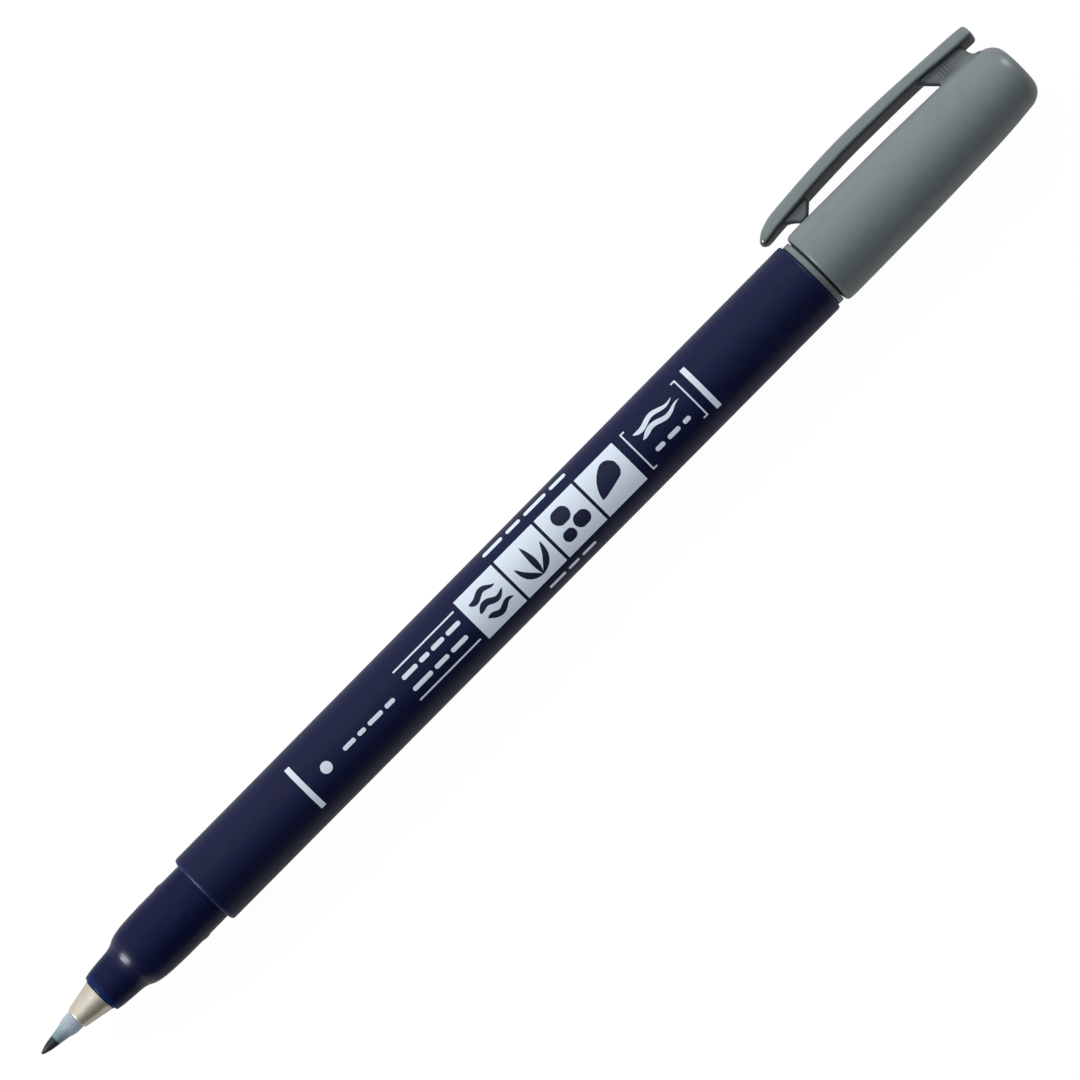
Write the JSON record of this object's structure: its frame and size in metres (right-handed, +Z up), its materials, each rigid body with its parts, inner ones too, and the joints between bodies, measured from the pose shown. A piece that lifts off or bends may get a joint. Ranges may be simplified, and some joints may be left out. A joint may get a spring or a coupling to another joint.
{
  "type": "calligraphy marker",
  "caption": "Slim brush pen lying on its side: tapered barrel, stepped nose, conical nib holder with a soft brush nib, and a round cap with a bowed clip posted on the tail.",
  "frame": {"origin": "middle of the pen's footprint, on the surface it lies on", "axes": "+X along the pen towards the nib, +Z up, with the clip on the -Y side and rolled below the level of the axis, so that the pen rests on its cap and on one edge of the clip"},
  "size_m": [0.1626, 0.0144, 0.0104],
  "materials": {
    "navy_barrel": "satin moulded plastic, dark blue",
    "navy_nose": "smooth moulded plastic, dark blue",
    "grey_cap": "satin moulded plastic, mid grey",
    "pale_holder": "glossy pale champagne plastic",
    "soft_nib": "translucent soft nib with an ink-soaked dark point",
    "white_liner": "plain white moulded plastic",
    "feed_fibre": "ink-soaked bonded fibre",
    "core_fibre": "ink-soaked fibre bundle",
    "clear_film": "thin milky film"
  },
  "bodies": {
    "pen": {"barrel": "navy_barrel", "front_section": "navy_nose", "nib_holder": "pale_holder", "ink_feed": "feed_fibre", "ink_reservoir": "core_fibre", "reservoir_sleeve": "clear_film", "tail_plug": "grey_cap"},
    "nib": {"brush_nib": "soft_nib"},
    "liner": {"inner_cap": "white_liner"},
    "cap": {"cap_shell": "grey_cap"},
    "clip": {"clip": "grey_cap"}
  },
  "joints": [
    {"name": "cap_pull", "type": "slide", "parent": "pen", "child": "liner", "axis": [-1, 0, 0], "range_m": [0, 0.015]},
    {"name": "cap_turn", "type": "hinge", "parent": "liner", "child": "cap", "pos_m": [-0.06, 0.002, 0.00518], "axis": [-1, 0, 0], "continuous": true},
    {"name": "clip_flex", "type": "hinge", "parent": "cap", "child": "clip", "pos_m": [-0.0713, -0.00542, 0.00194], "axis": [0, 0.4, -0.9165], "range_deg": [0, 5]},
    {"name": "nib_bend", "type": "hinge", "parent": "pen", "child": "nib", "pos_m": [0.07545, 0.002, 0.00518], "axis": [0, 0, 1], "range_deg": [-12, 12]}
  ]
}
